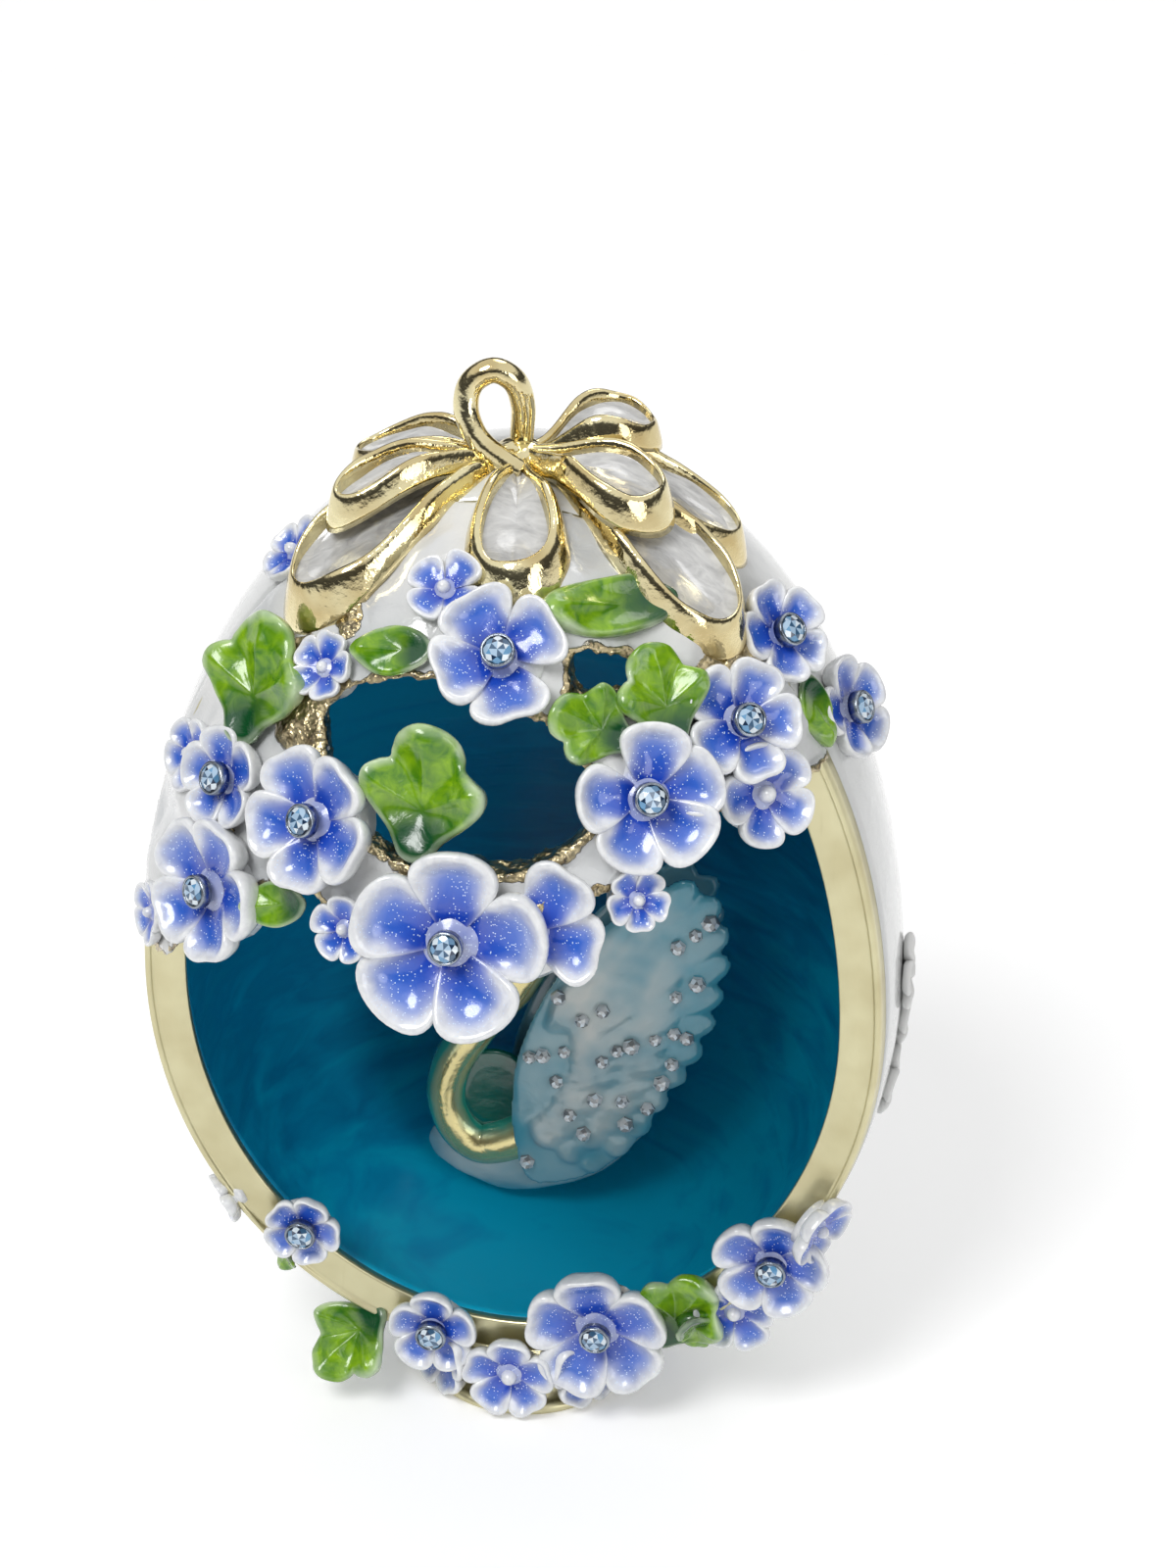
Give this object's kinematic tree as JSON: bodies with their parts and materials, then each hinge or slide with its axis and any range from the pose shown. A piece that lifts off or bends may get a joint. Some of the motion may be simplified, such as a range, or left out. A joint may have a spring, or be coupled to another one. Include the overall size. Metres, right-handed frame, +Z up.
{
  "type": "decorative egg on stand",
  "caption": "Enamelled metal egg with an open front, a swan inside, a garland of blossoms, a ribbon bow with a small eye on top and a low foot with a flower wreath.",
  "frame": {"origin": "centre of the foot's flat underside, on the egg's axis", "axes": "+Z up along the egg's axis, -Y out through the open front, +X to the right as seen from the front"},
  "size_m": [0.068, 0.0672, 0.1013],
  "materials": {
    "white_enamel": "glossy white enamel over cast metal",
    "teal_enamel": "glossy translucent teal enamel over cast metal",
    "gold_plate": "polished gold plate",
    "pearl_enamel": "pearly white enamel",
    "blue_enamel": "blue enamel with glitter and white edges",
    "green_enamel": "glossy translucent green enamel",
    "cup_metal": "polished setting",
    "blue_crystal": "faceted glass",
    "clear_crystal": "small faceted glass",
    "swan_enamel": "pearly white enamel with teal shading",
    "neck_enamel": "translucent green enamel over gold"
  },
  "bodies": {
    "root": {"rear_shell": "white_enamel", "inner_lining": "teal_enamel", "rim_band": "gold_plate", "front_openwork": "white_enamel", "foot_ring": "gold_plate", "shell_relief": "white_enamel", "bow_knot": "gold_plate", "bow_loop_1": "gold_plate", "bow_loop_2": "gold_plate", "bow_loop_3": "gold_plate", "bow_loop_4": "gold_plate", "bow_loop_5": "gold_plate", "bow_loop_6": "gold_plate", "bow_loop_7": "gold_plate", "bow_loop_8": "gold_plate", "bow_enamel": "pearl_enamel", "hanging_loop": "gold_plate", "garland_flower_1": "blue_enamel", "garland_flower_2": "blue_enamel", "garland_flower_3": "blue_enamel", "garland_flower_4": "blue_enamel", "garland_flower_5": "blue_enamel", "garland_flower_6": "blue_enamel", "garland_flower_7": "blue_enamel", "garland_flower_8": "blue_enamel", "garland_flower_9": "blue_enamel", "garland_flower_10": "blue_enamel", "garland_flower_11": "blue_enamel", "garland_flower_12": "blue_enamel", "garland_flower_13": "blue_enamel", "garland_flower_14": "blue_enamel", "garland_flower_15": "blue_enamel", "garland_flower_16": "blue_enamel", "garland_flower_17": "blue_enamel", "garland_flower_18": "blue_enamel", "rim_flower_1": "blue_enamel", "rim_flower_2": "blue_enamel", "rim_flower_3": "blue_enamel", "rim_flower_4": "blue_enamel", "side_flowers": "blue_enamel", "foot_flowers": "blue_enamel", "garland_leaf_1": "green_enamel", "garland_leaf_2": "green_enamel", "garland_leaf_3": "green_enamel", "garland_leaf_4": "green_enamel", "garland_leaf_5": "green_enamel", "garland_leaf_6": "green_enamel", "garland_leaf_7": "green_enamel", "garland_leaf_8": "green_enamel", "rim_leaves": "green_enamel", "foot_leaves": "green_enamel", "crystal_cups": "cup_metal", "crystals": "blue_crystal", "swan_body": "swan_enamel", "swan_near_wing": "swan_enamel", "swan_far_wing": "swan_enamel", "swan_neck": "neck_enamel", "swan_crystals": "clear_crystal"}
  },
  "joints": []
}
